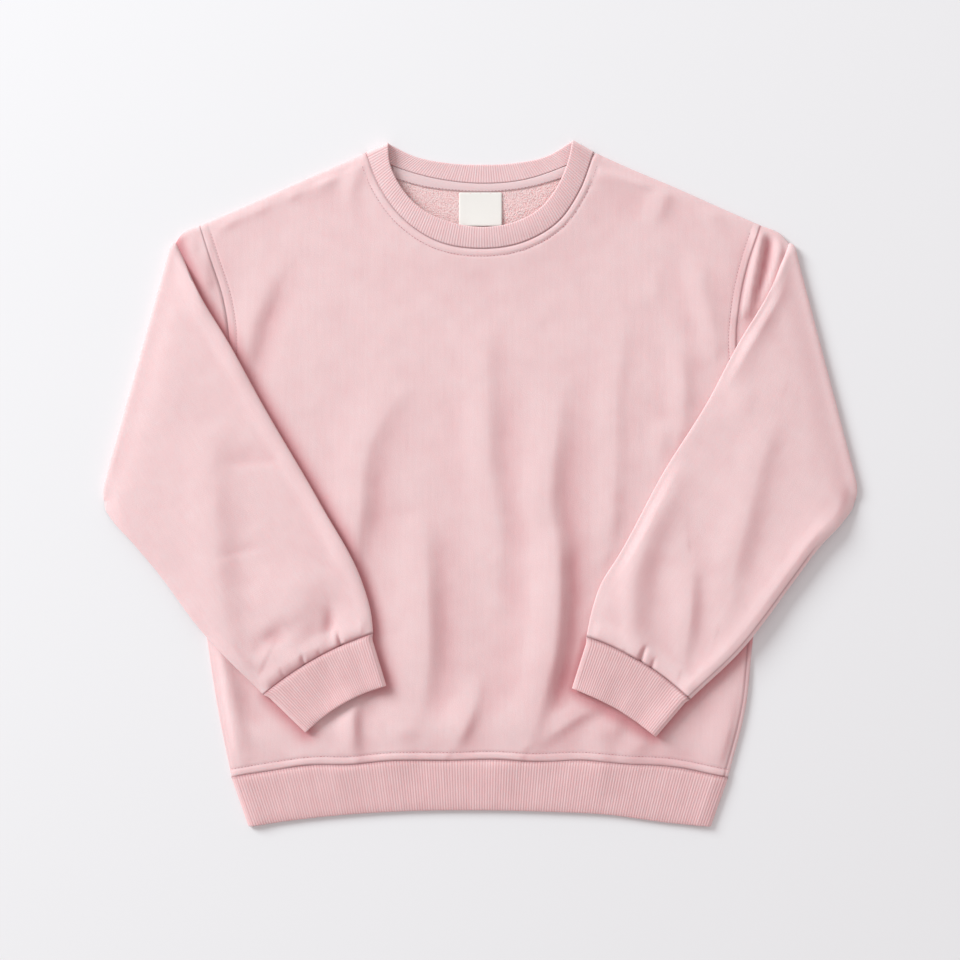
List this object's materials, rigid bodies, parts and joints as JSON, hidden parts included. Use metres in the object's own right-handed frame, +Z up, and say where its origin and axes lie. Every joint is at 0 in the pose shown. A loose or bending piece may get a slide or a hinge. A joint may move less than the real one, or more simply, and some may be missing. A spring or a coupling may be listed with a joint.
{
  "type": "crewneck sweatshirt",
  "caption": "Long-sleeved crewneck sweatshirt laid flat on its back, sleeves folded in over the front, with ribbed collar, cuffs and hem.",
  "frame": {"origin": "under the middle of the garment's outline, on the surface that it lies on", "axes": "+X across the garment towards its right edge as seen from above, +Y from the hem to the collar, +Z up from the surface"},
  "size_m": [0.7551, 0.685, 0.015],
  "materials": {
    "fleece": "pale dusty pink cotton fleece, matt with a soft nap",
    "fleece_inside": "the same fleece, its looped inside showing at the neck",
    "rib_knit": "pale dusty pink cotton rib knit",
    "tape": "smooth pink herringbone tape",
    "label_cloth": "blank cream woven label"
  },
  "bodies": {
    "root": {"front_panel": "fleece", "back_panel": "fleece_inside", "sleeve_left": "fleece", "sleeve_right": "fleece", "cuff_left": "rib_knit", "cuff_right": "rib_knit", "hem_rib": "rib_knit", "neck_rib": "rib_knit", "neck_tape": "tape", "label": "label_cloth"}
  },
  "joints": []
}
